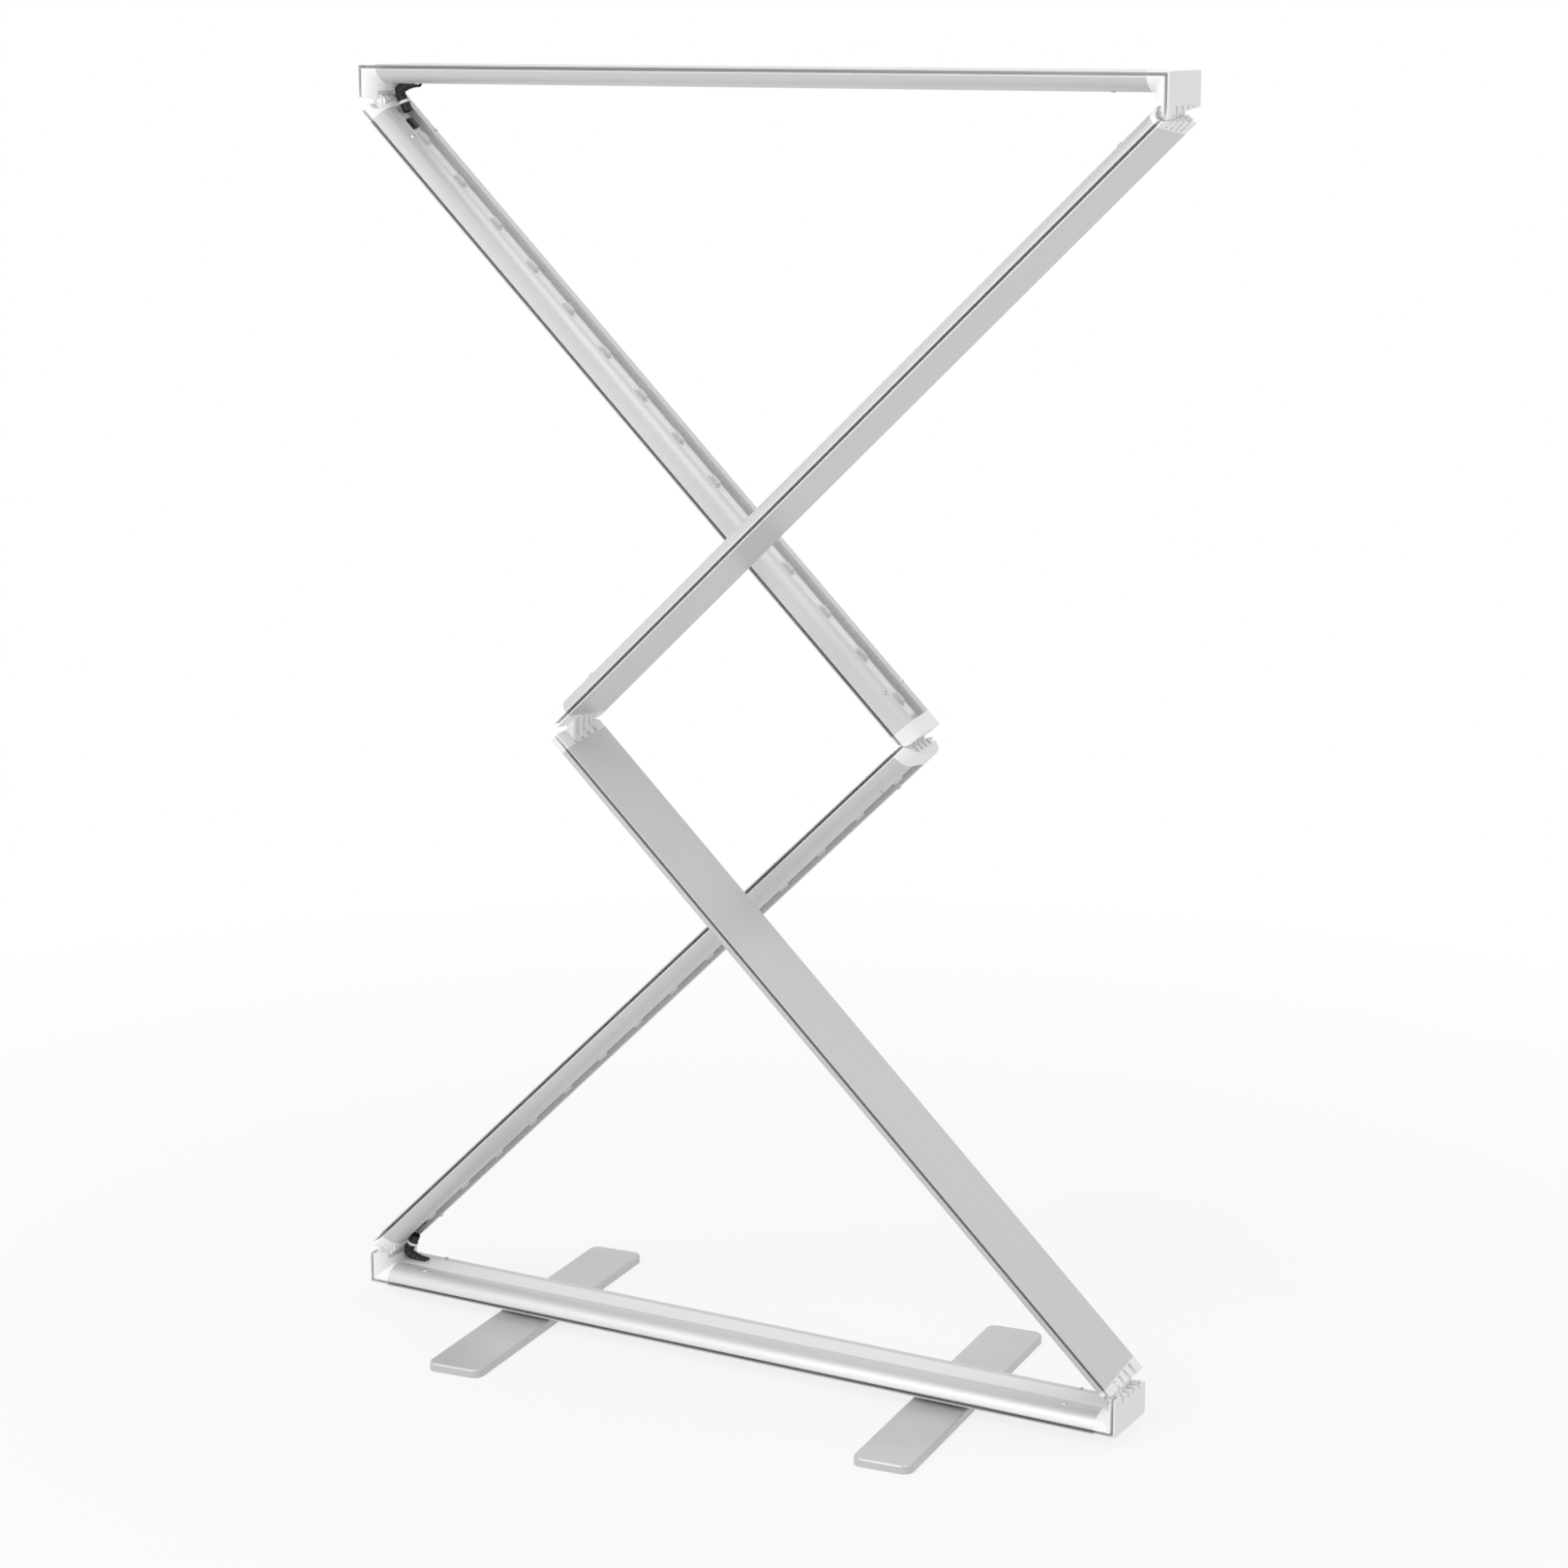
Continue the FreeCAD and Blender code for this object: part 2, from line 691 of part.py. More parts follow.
right_places, right_joints = arm_chain(False)
left_places, left_joints = arm_chain(True)
top_shift = left_joints[3] - in_quadrant(corner_pin, True, True)
whole_shift = V(-top_shift.x / 2, 0, floor_to_frame)


def settle(shape, placement):
    """Take a piece of the open frame to its place in the half folded frame."""
    moved = shape.copy()
    moved.transformShape(placement.toMatrix())
    moved.translate(whole_shift)
    return moved


os.makedirs("parts", exist_ok=True)
still = FreeCAD.Placement()
raised = FreeCAD.Placement(top_shift, FreeCAD.Rotation())
facet_counts = []


def save(name, shape):
    solids = shape.Solids
    if not solids or not all(solid.isValid() for solid in solids):
        print("check the solids of", name)
    shape.exportStep("parts/" + name + ".step")
    facet_counts.append(sum(len(solid.tessellate(facet_tolerance)[1]) for solid in solids))


# The two arms and the link of each side
arm_masters = {
    "rail": arm_rail(), "corner_cap": corner_cap(), "hinge_fins": corner_fins(),
    "elbow_cap": elbow_cap(), "light_board": light_board(), "lenses": light_lenses(),
    "screws": arm_screws(),
    "pins": Part.makeCompound([fin_rivet(), elbow_pin_piece()])}
for side_name, left, places in (("right", False, right_places), ("left", True, left_places)):
    for level, upper in (("lower", False), ("upper", True)):
        for piece_name, master in arm_masters.items():
            placed = settle(in_quadrant(master, upper, left), places[level])
            save(level + "_" + side_name + "_" + piece_name, placed)
    link = settle(in_quadrant(elbow_link(), False, left), places["link"])
    save(side_name + "_elbow_link", link)
for level, upper in (("lower", False), ("upper", True)):
    boot = settle(in_quadrant(cable_boot(), upper, True), left_places[level])
    save(level + "_left_cable_boot", boot)

# Bottom and top rails with their corner blocks
block = corner_block()
pin_piece = corner_pin_piece()
for level, upper, place in (("bottom", False, still), ("top", True, raised)):
    rail = to_upper(cross_rail()) if upper else bottom_rail()
    save(level + "_rail", settle(rail, place))
    save(level + "_cover_strip", settle(in_quadrant(cover_strip(), upper, False), place))
    save(level + "_screws", settle(in_quadrant(cross_screws(), upper, False), place))
    pins = Part.makeCompound([in_quadrant(pin_piece, upper, left) for left in (False, True)])
    save(level + "_hinge_pins", settle(pins, place))
    for side_name, left in (("right", False), ("left", True)):
        save(level + "_" + side_name + "_corner", settle(in_quadrant(block, upper, left), place))

# Feet
save("left_foot", settle(foot(-foot_spread), still))
save("right_foot", settle(foot(foot_spread), still))
save("foot_bolts", settle(both_feet(foot_bolt), still))
save("foot_washers", settle(both_feet(foot_washer), still))
save("foot_nuts", settle(both_feet(foot_nut), still))

for name, points in (("right", right_joints), ("left", left_joints)):
    for point in points:
        spot = point + whole_shift
        print(name, "hinge at", round(spot.x, 4), round(spot.y, 4), round(spot.z, 4))
loop_gap = (right_joints[3] - in_quadrant(corner_pin, True, False) - top_shift).Length
print("top rail shift", round(top_shift.x, 3), round(top_shift.y, 3), round(top_shift.z, 3))
print("loop closes to", round(loop_gap, 6), "mm;", sum(facet_counts), "facets")
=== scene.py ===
import math

import bmesh
import bpy
from mathutils import Matrix, Vector


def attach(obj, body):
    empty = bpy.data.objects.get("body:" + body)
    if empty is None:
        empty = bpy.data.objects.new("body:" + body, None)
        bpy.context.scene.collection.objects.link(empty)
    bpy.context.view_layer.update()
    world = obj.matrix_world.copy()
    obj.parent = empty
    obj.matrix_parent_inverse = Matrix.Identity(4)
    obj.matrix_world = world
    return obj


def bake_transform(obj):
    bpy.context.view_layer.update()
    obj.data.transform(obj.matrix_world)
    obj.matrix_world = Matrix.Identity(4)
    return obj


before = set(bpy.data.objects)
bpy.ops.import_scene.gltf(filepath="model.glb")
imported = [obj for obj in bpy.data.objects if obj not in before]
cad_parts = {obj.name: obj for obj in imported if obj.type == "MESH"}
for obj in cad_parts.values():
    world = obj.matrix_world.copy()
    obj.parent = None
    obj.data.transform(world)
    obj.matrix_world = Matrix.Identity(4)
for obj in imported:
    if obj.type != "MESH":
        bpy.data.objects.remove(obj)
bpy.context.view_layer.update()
print("frame loaded:", len(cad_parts), "nodes")


# how the frame stands: every hinge pin runs along hingeAxis, and each arm leans about it
stance = {
    "hingeSkew": 9.1,
    "leans": {
        "lower_right": -43.1,
        "upper_right": 45.2,
        "lower_left": 45.2,
        "upper_left": -43.1,
    },
}
skew = math.radians(stance["hingeSkew"])
hingeAxis = Vector((-math.sin(skew), math.cos(skew), 0))


def grey(value, warmth=0.0):
    # a display grey as the linear colour the shaders want
    linear = ((value + 0.055) / 1.055) ** 2.4
    return (linear * (1 + warmth), linear, linear * (1 - warmth), 1)


def turnOf(arm):
    # the turn that lays a leaning arm upright again, for patterns that run along it
    return Matrix.Rotation(math.radians(-stance["leans"][arm]), 3, hingeAxis)


# the turn for patterns that run along the cross rails
alongX = Matrix.Rotation(math.radians(90), 3, "Y")


# shader groups

def newGroup(name, inputs, outputs):
    group = bpy.data.node_groups.new(name, "ShaderNodeTree")
    for label, kind, value in inputs:
        socket = group.interface.new_socket(name=label, in_out="INPUT", socket_type=kind)
        if value is not None:
            socket.default_value = value
    for label, kind in outputs:
        group.interface.new_socket(name=label, in_out="OUTPUT", socket_type=kind)
    return group, group.nodes.new("NodeGroupInput"), group.nodes.new("NodeGroupOutput")


def addMath(tree, operation, first, second):
    node = tree.nodes.new("ShaderNodeMath")
    node.operation = operation
    for socket, value in zip(node.inputs, (first, second)):
        if isinstance(value, (int, float)):
            socket.default_value = value
        else:
            tree.links.new(value, socket)
    return node.outputs[0]


def addNoise(tree, vector, scale, detail=3.0, roughness=0.55):
    node = tree.nodes.new("ShaderNodeTexNoise")
    tree.links.new(vector, node.inputs["Vector"])
    if isinstance(scale, (int, float)):
        node.inputs["Scale"].default_value = scale
    else:
        tree.links.new(scale, node.inputs["Scale"])
    node.inputs["Detail"].default_value = detail
    node.inputs["Roughness"].default_value = roughness
    return node.outputs["Fac"]


def addRange(tree, value, low, high, toLow, toHigh):
    node = tree.nodes.new("ShaderNodeMapRange")
    tree.links.new(value, node.inputs["Value"])
    for label, number in (("From Min", low), ("From Max", high), ("To Min", toLow), ("To Max", toHigh)):
        node.inputs[label].default_value = number
    return node.outputs["Result"]


drawShares = {"fine": 0.55, "coarse": 0.45}


def makeDrawLinesGroup():
    # die lines left by extrusion, along the z of the vector it is given
    group, entry, leave = newGroup(
        "drawLines",
        (
            ("Vector", "NodeSocketVector", None),
            ("Fineness", "NodeSocketFloat", 900.0),
            ("Stretch", "NodeSocketFloat", 0.006),
        ),
        (("Height", "NodeSocketFloat"), ("Tone", "NodeSocketFloat")),
    )
    joined = group.nodes.new("ShaderNodeCombineXYZ")
    split = group.nodes.new("ShaderNodeSeparateXYZ")
    group.links.new(entry.outputs["Vector"], split.inputs[0])
    group.links.new(split.outputs["X"], joined.inputs["X"])
    group.links.new(split.outputs["Y"], joined.inputs["Y"])
    along = addMath(group, "MULTIPLY", split.outputs["Z"], entry.outputs["Stretch"])
    group.links.new(along, joined.inputs["Z"])
    fine = addNoise(group, joined.outputs[0], entry.outputs["Fineness"], 4, 0.6)
    coarseScale = addMath(group, "MULTIPLY", entry.outputs["Fineness"], 0.16)
    coarse = addNoise(group, joined.outputs[0], coarseScale, 2, 0.5)
    group.links.new(fine, leave.inputs["Height"])
    finePart = addMath(group, "MULTIPLY", fine, drawShares["fine"])
    coarsePart = addMath(group, "MULTIPLY", coarse, drawShares["coarse"])
    group.links.new(addMath(group, "ADD", finePart, coarsePart), leave.inputs["Tone"])
    return group


def makeGrainGroup():
    # the fine even grain of a moulded, blasted or painted surface
    group, entry, leave = newGroup(
        "surfaceGrain",
        (
            ("Vector", "NodeSocketVector", None),
            ("Scale", "NodeSocketFloat", 900.0),
            ("Waviness", "NodeSocketFloat", 0.25),
        ),
        (("Height", "NodeSocketFloat"), ("Tone", "NodeSocketFloat")),
    )
    fine = addNoise(group, entry.outputs["Vector"], entry.outputs["Scale"], 3, 0.6)
    broadScale = addMath(group, "MULTIPLY", entry.outputs["Scale"], 0.03)
    broad = addNoise(group, entry.outputs["Vector"], broadScale, 2, 0.5)
    mixed = group.nodes.new("ShaderNodeMix")
    group.links.new(entry.outputs["Waviness"], mixed.inputs["Factor"])
    group.links.new(fine, mixed.inputs["A"])
    group.links.new(broad, mixed.inputs["B"])
    group.links.new(mixed.outputs["Result"], leave.inputs["Height"])
    group.links.new(broad, leave.inputs["Tone"])
    return group


def makeHandlingGroup():
    # where hands and cloths have passed: soft patches with a few fine rubs in them
    group, entry, leave = newGroup(
        "handlingMarks",
        (
            ("Vector", "NodeSocketVector", None),
            ("Patch", "NodeSocketFloat", 9.0),
            ("Amount", "NodeSocketFloat", 0.5),
        ),
        (("Mask", "NodeSocketFloat"),),
    )
    patch = addNoise(group, entry.outputs["Vector"], entry.outputs["Patch"], 4, 0.62)
    picked = addRange(group, patch, 0.46, 0.7, 0, 1)
    rubScale = addMath(group, "MULTIPLY", entry.outputs["Patch"], 24)
    rub = addRange(group, addNoise(group, entry.outputs["Vector"], rubScale, 3, 0.7), 0.35, 0.75, 0.4, 1)
    both = addMath(group, "MULTIPLY", picked, rub)
    group.links.new(addMath(group, "MULTIPLY", both, entry.outputs["Amount"]), leave.inputs["Mask"])
    return group


groups = {
    "drawLines": makeDrawLinesGroup(),
    "surfaceGrain": makeGrainGroup(),
    "handlingMarks": makeHandlingGroup(),
}
print("shader groups built:", ", ".join(groups))


# materials

def startMaterial(name, turn=None):
    material = bpy.data.materials.new(name)
    material.use_nodes = True
    tree = material.node_tree
    shader = tree.nodes["Principled BSDF"]
    place = tree.nodes.new("ShaderNodeTexCoord").outputs["Object"]
    if turn is not None:
        mapping = tree.nodes.new("ShaderNodeMapping")
        mapping.inputs["Rotation"].default_value = turn.to_euler()
        tree.links.new(place, mapping.inputs["Vector"])
        place = mapping.outputs["Vector"]
    return material, tree, shader, place


def placeGroup(tree, name, vector, **values):
    node = tree.nodes.new("ShaderNodeGroup")
    node.node_tree = groups[name]
    tree.links.new(vector, node.inputs["Vector"])
    for label, value in values.items():
        node.inputs[label].default_value = value
    return node.outputs


def blendColours(tree, factor, low, high):
    node = tree.nodes.new("ShaderNodeMix")
    node.data_type = "RGBA"
    tree.links.new(factor, node.inputs["Factor"])
    for socket, colour in ((node.inputs[6], low), (node.inputs[7], high)):
        if isinstance(colour, tuple):
            socket.default_value = colour
        else:
            tree.links.new(colour, socket)
    return node.outputs[2]


def addBump(tree, shader, height, strength, distance):
    bump = tree.nodes.new("ShaderNodeBump")
    bump.inputs["Strength"].default_value = strength
    bump.inputs["Distance"].default_value = distance
    tree.links.new(height, bump.inputs["Height"])
    tree.links.new(bump.outputs["Normal"], shader.inputs["Normal"])


anodised = {
    "dark": grey(0.785), "light": grey(0.805), "metallic": 0.35, "roughness": (0.36, 0.42),
    "lineFineness": 900, "lineStretch": 0.004, "bump": 0.02, "bumpDistance": 0.00002,
    "marks": 0.3, "patch": 7, "markRoughness": 0.14, "ior": 1.6,
}


def anodisedMaterial(name, turn):
    material, tree, shader, place = startMaterial(name, turn)
    lines = placeGroup(
        tree, "drawLines", place, Fineness=anodised["lineFineness"], Stretch=anodised["lineStretch"],
    )
    marks = placeGroup(tree, "handlingMarks", place, Patch=anodised["patch"], Amount=anodised["marks"])
    tone = addRange(tree, lines["Tone"], 0.3, 0.7, 0, 1)
    brushed = blendColours(tree, tone, anodised["dark"], anodised["light"])
    tree.links.new(brushed, shader.inputs["Base Color"])
    low, high = anodised["roughness"]
    rough = addRange(tree, lines["Tone"], 0.3, 0.7, low, high)
    rough = addMath(tree, "ADD", rough, addMath(tree, "MULTIPLY", marks["Mask"], anodised["markRoughness"]))
    tree.links.new(rough, shader.inputs["Roughness"])
    shader.inputs["Metallic"].default_value = anodised["metallic"]
    shader.inputs["IOR"].default_value = anodised["ior"]
    addBump(tree, shader, lines["Height"], anodised["bump"], anodised["bumpDistance"])
    return material


moulded = {
    "base": grey(0.94), "shade": grey(0.915, 0.004), "roughness": (0.36, 0.48),
    "grain": 1500, "waviness": 0.3, "bump": 0.1, "bumpDistance": 0.00005, "marks": 0.35, "patch": 22,
    "ior": 1.52,
}


def mouldedMaterial():
    material, tree, shader, place = startMaterial("mouldedWhite")
    grain = placeGroup(tree, "surfaceGrain", place, Scale=moulded["grain"], Waviness=moulded["waviness"])
    marks = placeGroup(tree, "handlingMarks", place, Patch=moulded["patch"], Amount=moulded["marks"])
    shaded = blendColours(tree, marks["Mask"], moulded["base"], moulded["shade"])
    tree.links.new(shaded, shader.inputs["Base Color"])
    low, high = moulded["roughness"]
    tree.links.new(addRange(tree, grain["Tone"], 0.3, 0.7, low, high), shader.inputs["Roughness"])
    shader.inputs["IOR"].default_value = moulded["ior"]
    addBump(tree, shader, grain["Height"], moulded["bump"], moulded["bumpDistance"])
    return material


cover = {
    "base": grey(0.93), "shade": grey(0.90), "roughness": (0.34, 0.46),
    "lineFineness": 700, "lineStretch": 0.003, "bump": 0.14, "bumpDistance": 0.00005,
    "ior": 1.49,
}


def coverMaterial():
    # an extruded plastic strip, so it has die lines too, fainter and softer
    material, tree, shader, place = startMaterial("coverStrip", alongX)
    lines = placeGroup(
        tree, "drawLines", place, Fineness=cover["lineFineness"], Stretch=cover["lineStretch"],
    )
    tone = addRange(tree, lines["Tone"], 0.32, 0.68, 0, 1)
    tree.links.new(blendColours(tree, tone, cover["shade"], cover["base"]), shader.inputs["Base Color"])
    low, high = cover["roughness"]
    tree.links.new(addRange(tree, lines["Tone"], 0.3, 0.7, low, high), shader.inputs["Roughness"])
    shader.inputs["IOR"].default_value = cover["ior"]
    addBump(tree, shader, lines["Height"], cover["bump"], cover["bumpDistance"])
    return material


board = {
    "base": grey(0.93), "trace": grey(0.88), "roughness": (0.3, 0.4), "trackScale": 240, "trackGap": 0.04,
    "grain": 600, "waviness": 0.5, "bump": 0.3, "bumpDistance": 0.00006,
}


def boardMaterial(name, turn):
    # white solder mask with copper tracks just readable beneath it
    material, tree, shader, place = startMaterial(name, turn)
    cells = tree.nodes.new("ShaderNodeTexBrick")
    tree.links.new(place, cells.inputs["Vector"])
    cells.inputs["Scale"].default_value = board["trackScale"]
    cells.inputs["Mortar Size"].default_value = board["trackGap"]
    cells.inputs["Color1"].default_value = (1, 1, 1, 1)
    cells.inputs["Color2"].default_value = (1, 1, 1, 1)
    cells.inputs["Mortar"].default_value = (0, 0, 0, 1)
    tracked = blendColours(tree, cells.outputs["Color"], board["trace"], board["base"])
    tree.links.new(tracked, shader.inputs["Base Color"])
    grain = placeGroup(tree, "surfaceGrain", place, Scale=board["grain"], Waviness=board["waviness"])
    low, high = board["roughness"]
    tree.links.new(addRange(tree, grain["Tone"], 0.3, 0.7, low, high), shader.inputs["Roughness"])
    addBump(tree, shader, cells.outputs["Fac"], board["bump"], board["bumpDistance"])
    return material


lens = {
    "base": grey(0.95), "shade": grey(0.88), "roughness": (0.16, 0.28), "transmission": 0.25, "ior": 1.49,
    "grain": 500, "waviness": 0.6, "bump": 0.12, "bumpDistance": 0.0001,
}


def lensMaterial():
    # frosted acrylic over each lamp
    material, tree, shader, place = startMaterial("lampLens")
    grain = placeGroup(tree, "surfaceGrain", place, Scale=lens["grain"], Waviness=lens["waviness"])
    low, high = lens["roughness"]
    tree.links.new(addRange(tree, grain["Tone"], 0.3, 0.7, low, high), shader.inputs["Roughness"])
    milky = blendColours(tree, grain["Tone"], lens["shade"], lens["base"])
    tree.links.new(milky, shader.inputs["Base Color"])
    shader.inputs["Transmission Weight"].default_value = lens["transmission"]
    shader.inputs["IOR"].default_value = lens["ior"]
    addBump(tree, shader, grain["Height"], lens["bump"], lens["bumpDistance"])
    return material


steel = {
    "light": grey(0.82), "dark": grey(0.62), "roughness": (0.2, 0.4), "grain": 2200, "waviness": 0.4,
    "bump": 0.15, "bumpDistance": 0.00004, "marks": 0.8, "patch": 160,
}


def steelMaterial():
    material, tree, shader, place = startMaterial("zincedSteel")
    grain = placeGroup(tree, "surfaceGrain", place, Scale=steel["grain"], Waviness=steel["waviness"])
    marks = placeGroup(tree, "handlingMarks", place, Patch=steel["patch"], Amount=steel["marks"])
    dulled = blendColours(tree, marks["Mask"], steel["light"], steel["dark"])
    tree.links.new(dulled, shader.inputs["Base Color"])
    low, high = steel["roughness"]
    tree.links.new(addRange(tree, grain["Tone"], 0.3, 0.7, low, high), shader.inputs["Roughness"])
    shader.inputs["Metallic"].default_value = 1.0
    addBump(tree, shader, grain["Height"], steel["bump"], steel["bumpDistance"])
    return material


footPaint = {
    "base": grey(0.74), "shade": grey(0.71), "roughness": (0.3, 0.42), "peel": 420,
    "waviness": 0.2, "bump": 0.35, "bumpDistance": 0.0001, "marks": 0.6, "patch": 12, "markRoughness": 0.1,
    "metallic": 0.35, "coat": 0.25, "coatRoughness": 0.22, "flake": grey(0.80), "flakeScale": 5200,
}


def footMaterial():
    # satin silver powder coat with a little orange peel
    material, tree, shader, place = startMaterial("footPaint")
    grain = placeGroup(tree, "surfaceGrain", place, Scale=footPaint["peel"], Waviness=footPaint["waviness"])
    marks = placeGroup(tree, "handlingMarks", place, Patch=footPaint["patch"], Amount=footPaint["marks"])
    flake = addRange(tree, addNoise(tree, place, footPaint["flakeScale"], 1, 0.5), 0.4, 0.62, 0, 0.5)
    speckled = blendColours(tree, flake, footPaint["base"], footPaint["flake"])
    handled = blendColours(tree, marks["Mask"], speckled, footPaint["shade"])
    tree.links.new(handled, shader.inputs["Base Color"])
    low, high = footPaint["roughness"]
    rough = addRange(tree, grain["Tone"], 0.3, 0.7, low, high)
    rough = addMath(tree, "ADD", rough, addMath(tree, "MULTIPLY", marks["Mask"], footPaint["markRoughness"]))
    tree.links.new(rough, shader.inputs["Roughness"])
    shader.inputs["Metallic"].default_value = footPaint["metallic"]
    shader.inputs["Coat Weight"].default_value = footPaint["coat"]
    shader.inputs["Coat Roughness"].default_value = footPaint["coatRoughness"]
    addBump(tree, shader, grain["Height"], footPaint["bump"], footPaint["bumpDistance"])
    return material


rubber = {
    "base": grey(0.12), "worn": grey(0.2), "roughness": (0.42, 0.6), "grain": 1300, "waviness": 0.3,
    "bump": 0.3, "bumpDistance": 0.0001, "marks": 0.7, "patch": 90,
}


def rubberMaterial():
    material, tree, shader, place = startMaterial("blackRubber")
    grain = placeGroup(tree, "surfaceGrain", place, Scale=rubber["grain"], Waviness=rubber["waviness"])
    marks = placeGroup(tree, "handlingMarks", place, Patch=rubber["patch"], Amount=rubber["marks"])
    worn = blendColours(tree, marks["Mask"], rubber["base"], rubber["worn"])
    tree.links.new(worn, shader.inputs["Base Color"])
    low, high = rubber["roughness"]
    tree.links.new(addRange(tree, grain["Tone"], 0.3, 0.7, low, high), shader.inputs["Roughness"])
    addBump(tree, shader, grain["Height"], rubber["bump"], rubber["bumpDistance"])
    return material


finishes = {
    "mouldedWhite": mouldedMaterial(),
    "coverStrip": coverMaterial(),
    "lampLens": lensMaterial(),
    "zincedSteel": steelMaterial(),
    "footPaint": footMaterial(),
    "blackRubber": rubberMaterial(),
    "anodisedAcross": anodisedMaterial("anodisedAcross", alongX),
}
for arm in stance["leans"]:
    finishes["anodised_" + arm] = anodisedMaterial("anodised_" + arm, turnOf(arm))
    finishes["board_" + arm] = boardMaterial("board_" + arm, turnOf(arm))
print("materials built:", len(finishes))


def finishFor(name):
    arm = next((each for each in stance["leans"] if name.startswith(each)), None)
    if name.endswith("_lenses"):
        return "lampLens"
    if name.endswith("_light_board"):
        return "board_" + arm
    if name.endswith("cable_boot"):
        return "blackRubber"
    if name.endswith("_rail"):
        return "anodised_" + arm if arm else "anodisedAcross"
    if name.endswith("cover_strip"):
        return "coverStrip"
    if name in ("left_foot", "right_foot"):
        return "footPaint"
    if name.endswith(("_screws", "_pins")) or name in ("foot_bolts", "foot_nuts", "foot_washers"):
        return "zincedSteel"
    return "mouldedWhite"


for name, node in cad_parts.items():
    node.data.materials.clear()
    node.data.materials.append(finishes[finishFor(name)])
print("finishes on the frame's own nodes")


# cable conduits at the two left hinges, from a cross rail's trough into an arm's trough

hinges = {
    "upperLeft": {"pin": Vector((-0.4734036, 0.0040352, 1.4480704)), "arm": "upper_left", "up": -1},
    "lowerLeft": {"pin": Vector((-0.4985964, 0, 0.056)), "arm": "lower_left", "up": 1},
}


def armPoint(hinge, along, inward, across):
    # a point measured from a hinge pin: along the arm, in from its outer face, and along the pin
    spot = hinges[hinge]
    lean = Matrix.Rotation(math.radians(stance["leans"][spot["arm"]]), 3, hingeAxis)
    return spot["pin"] + lean @ Vector((inward, 0, along * spot["up"])) + hingeAxis * across


def railPoint(hinge, along, inward, across):
    # the same for the cross rail that the hinge stands on
    spot = hinges[hinge]
    return spot["pin"] + Vector((along, 0, -spot["up"] * inward)) + hingeAxis * across


def smoothPath(points, steps):
    # a Catmull-Rom curve through the points
    padded = [points[0] * 2 - points[1]] + list(points) + [points[-1] * 2 - points[-2]]
    curve = []
    for index in range(1, len(padded) - 2):
        before, start, end, after = padded[index - 1:index + 3]
        for step in range(steps):
            t = step / steps
            curve.append(
                0.5 * (2 * start + (end - before) * t + (2 * before - 5 * start + 4 * end - after) * t ** 2
                       + (3 * start - before - 3 * end + after) * t ** 3)
            )
    curve.append(points[-1].copy())
    return curve


def sweepTube(name, curve, radii, sides, wall, finish):
    tube = bmesh.new()
    rings = []
    for index, (spot, radius) in enumerate(zip(curve, radii)):
        ahead = curve[min(index + 1, len(curve) - 1)] - curve[max(index - 1, 0)]
        ahead.normalize()
        side = (hingeAxis - ahead * hingeAxis.dot(ahead)).normalized()
        turn = Matrix((side, ahead.cross(side), ahead)).transposed().to_4x4()
        made = bmesh.ops.create_circle(
            tube, cap_ends=False, radius=radius, segments=sides, matrix=Matrix.Translation(spot) @ turn
        )
        corners = set(made["verts"])
        rings.append([edge for edge in tube.edges if set(edge.verts) <= corners])
    for first, second in zip(rings, rings[1:]):
        bmesh.ops.bridge_loops(tube, edges=first + second)
    bmesh.ops.recalc_face_normals(tube, faces=tube.faces)
    for face in tube.faces:
        face.smooth = True
    mesh = bpy.data.meshes.new(name)
    tube.to_mesh(mesh)
    tube.free()
    piece = bpy.data.objects.new(name, mesh)
    bpy.context.scene.collection.objects.link(piece)
    mesh.materials.append(finishes[finish])
    thick = piece.modifiers.new("wall", "SOLIDIFY")
    thick.thickness = wall
    thick.offset = -1
    return piece


conduit = {
    "radius": 0.0052, "ribHeight": 0.0009, "ribs": 13, "ringsPerRib": 4, "sides": 24, "wall": 0.0009,
    "collarRadius": 0.0071, "collarLength": 0.0036, "collarWall": 0.0012, "collarSides": 32,
    "collarBevel": 0.0005, "collarFlat": 0.7,
    "route": {
        "rail": ((0.040, 0.0215, 0.004), (0.027, 0.0195, 0.004)),
        "railBend": (0.0125, 0.0125, 0.004),
        "armBend": (0.001, 0.0165, 0.004),
        "arm": ((0.0135, 0.0125, 0.003), (0.0245, 0.0085, 0.002)),
    },
}


def makeConduit(hinge, armBody):
    route = conduit["route"]
    bend = (railPoint(hinge, *route["railBend"]) + armPoint(hinge, *route["armBend"])) / 2
    through = [railPoint(hinge, *spot) for spot in route["rail"]] + [bend]
    through += [armPoint(hinge, *spot) for spot in route["arm"]]
    steps = conduit["ribs"] * conduit["ringsPerRib"] // (len(through) - 1)
    curve = smoothPath(through, steps)
    radii = []
    for index in range(len(curve)):
        wave = 0.5 - 0.5 * math.cos(2 * math.pi * index / conduit["ringsPerRib"])
        radii.append(conduit["radius"] + conduit["ribHeight"] * wave)
    tube = sweepTube(
        hinge + "Conduit", curve, radii, conduit["sides"], conduit["wall"], "blackRubber"
    )
    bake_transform(tube)
    middle = through[3]
    lead = (through[4] - through[2]).normalized()
    half = conduit["collarLength"] / 2
    outer = conduit["collarRadius"]
    rim = outer - conduit["collarBevel"]
    flat = half * conduit["collarFlat"]
    stations = ((-half, rim), (-flat, outer), (flat, outer), (half, rim))
    collar = sweepTube(
        hinge + "ConduitCollar", [middle + lead * each for each, radius in stations],
        [radius for each, radius in stations], conduit["collarSides"], conduit["collarWall"],
        "mouldedWhite",
    )
    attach(collar, armBody)


makeConduit("upperLeft", "upper_left_arm")
makeConduit("lowerLeft", "lower_left_arm")
print("conduits made")


# stage, light and camera

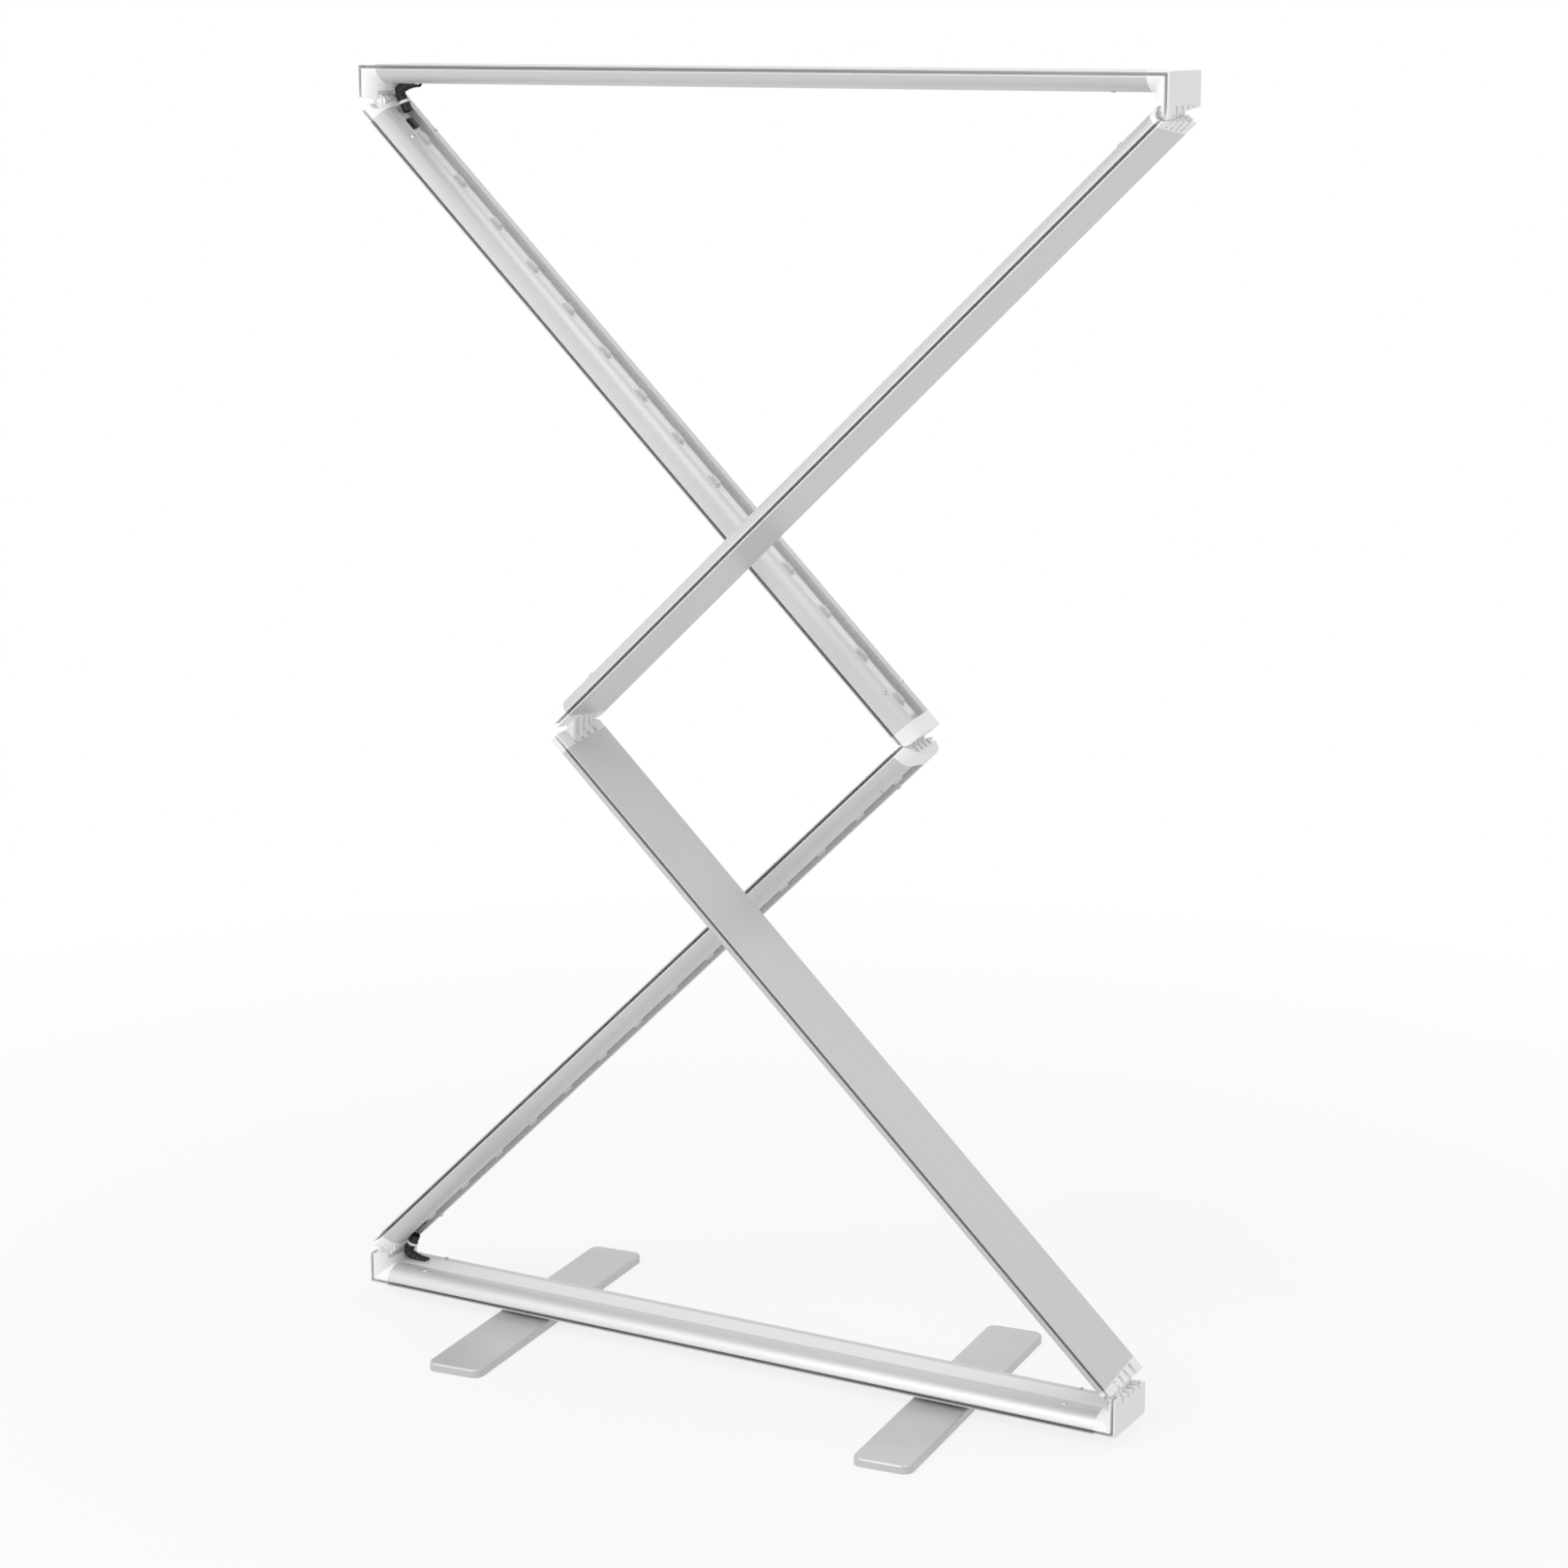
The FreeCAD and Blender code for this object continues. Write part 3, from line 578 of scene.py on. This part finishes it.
stageLook = {
    "reach": 60, "drop": 0.0003, "albedo": grey(0.88), "lift": 0.8, "fadeFrom": 0.7, "fadeTo": 2.2,
    "bounce": 0.5,
}


def makeFloor():
    mesh = bpy.data.meshes.new("floor")
    sheet = bmesh.new()
    bmesh.ops.create_grid(sheet, x_segments=2, y_segments=2, size=stageLook["reach"])
    bmesh.ops.translate(sheet, vec=(0, 0, -stageLook["drop"]), verts=sheet.verts)
    sheet.to_mesh(mesh)
    sheet.free()
    floor = bpy.data.objects.new("floor", mesh)
    bpy.context.scene.collection.objects.link(floor)
    material = bpy.data.materials.new("paleFloor")
    material.use_nodes = True
    tree = material.node_tree
    shader = tree.nodes["Principled BSDF"]
    shader.inputs["Base Color"].default_value = stageLook["albedo"]
    shader.inputs["Roughness"].default_value = 0.9
    shader.inputs["Specular IOR Level"].default_value = 0.0
    glow = tree.nodes.new("ShaderNodeEmission")
    glow.inputs["Strength"].default_value = 1.0
    path = tree.nodes.new("ShaderNodeLightPath")
    seen = addMath(tree, "MAXIMUM", path.outputs["Is Camera Ray"], path.outputs["Is Glossy Ray"])
    seen = addMath(tree, "MAXIMUM", seen, path.outputs["Is Transmission Ray"])
    # past the object's shadow the floor runs out into the white of the backdrop
    spot = tree.nodes.new("ShaderNodeTexCoord").outputs["Object"]
    away = tree.nodes.new("ShaderNodeVectorMath")
    away.operation = "LENGTH"
    tree.links.new(spot, away.inputs[0])
    near, far = stageLook["fadeFrom"], stageLook["fadeTo"]
    fade = addRange(tree, away.outputs["Value"], near, far, stageLook["lift"], 1)
    mix = tree.nodes.new("ShaderNodeMixShader")
    # part of the light it throws back is steady glow, which keeps the undersides free of speckle
    share = addRange(tree, seen, 0, 1, stageLook["bounce"], 1)
    tree.links.new(addMath(tree, "MULTIPLY", share, fade), mix.inputs[0])
    tree.links.new(shader.outputs[0], mix.inputs[1])
    tree.links.new(glow.outputs[0], mix.inputs[2])
    tree.links.new(mix.outputs[0], tree.nodes["Material Output"].inputs["Surface"])
    mesh.materials.append(material)


sky = {"ambient": 0.56, "backdrop": 1.0}


def makeWorld():
    world = bpy.data.worlds.new("studio")
    world.use_nodes = True
    tree = world.node_tree
    background = tree.nodes["Background"]
    background.inputs["Color"].default_value = (1, 1, 1, 1)
    path = tree.nodes.new("ShaderNodeLightPath")
    seen = addMath(tree, "MAXIMUM", path.outputs["Is Camera Ray"], path.outputs["Is Glossy Ray"])
    seen = addMath(tree, "MAXIMUM", seen, path.outputs["Is Transmission Ray"])
    strength = addRange(tree, seen, 0, 1, sky["ambient"], sky["backdrop"])
    tree.links.new(strength, background.inputs["Strength"])
    bpy.context.scene.world = world


lamps = {
    "key": {"place": (-1.6, -3.0, 4.2), "power": 75, "size": 2.4},
    "top": {"place": (0.9, 0.6, 4.6), "power": 55, "size": 3.0},
    "fill": {"place": (3.2, -2.4, 1.8), "power": 7, "size": 2.6},
    "front": {"place": (-0.5, -4.4, 1.0), "power": 42, "size": 2.2},
}
lookAt = Vector((0, 0, 0.75))


def makeLamp(name, settings):
    lamp = bpy.data.lights.new(name, "AREA")
    lamp.energy = settings["power"]
    lamp.size = settings["size"]
    holder = bpy.data.objects.new(name, lamp)
    holder.location = settings["place"]
    holder.rotation_euler = (lookAt - holder.location).to_track_quat("-Z", "Y").to_euler()
    bpy.context.scene.collection.objects.link(holder)


cameraView = {
    "place": (1.8945, -3.3367, 1.5487), "tilt": 77.416, "turn": 28.954, "lens": 79.48, "sensor": 36,
}


def makeCamera():
    camera = bpy.data.cameras.new("photoView")
    camera.lens = cameraView["lens"]
    camera.sensor_width = cameraView["sensor"]
    holder = bpy.data.objects.new("photoView", camera)
    holder.location = cameraView["place"]
    holder.rotation_euler = (math.radians(cameraView["tilt"]), 0, math.radians(cameraView["turn"]))
    bpy.context.scene.collection.objects.link(holder)
    bpy.context.scene.camera = holder


makeFloor()
makeWorld()
for name, settings in lamps.items():
    makeLamp(name, settings)
makeCamera()
bpy.context.scene.view_settings.view_transform = "Standard"
print("stage, lamps and camera set")
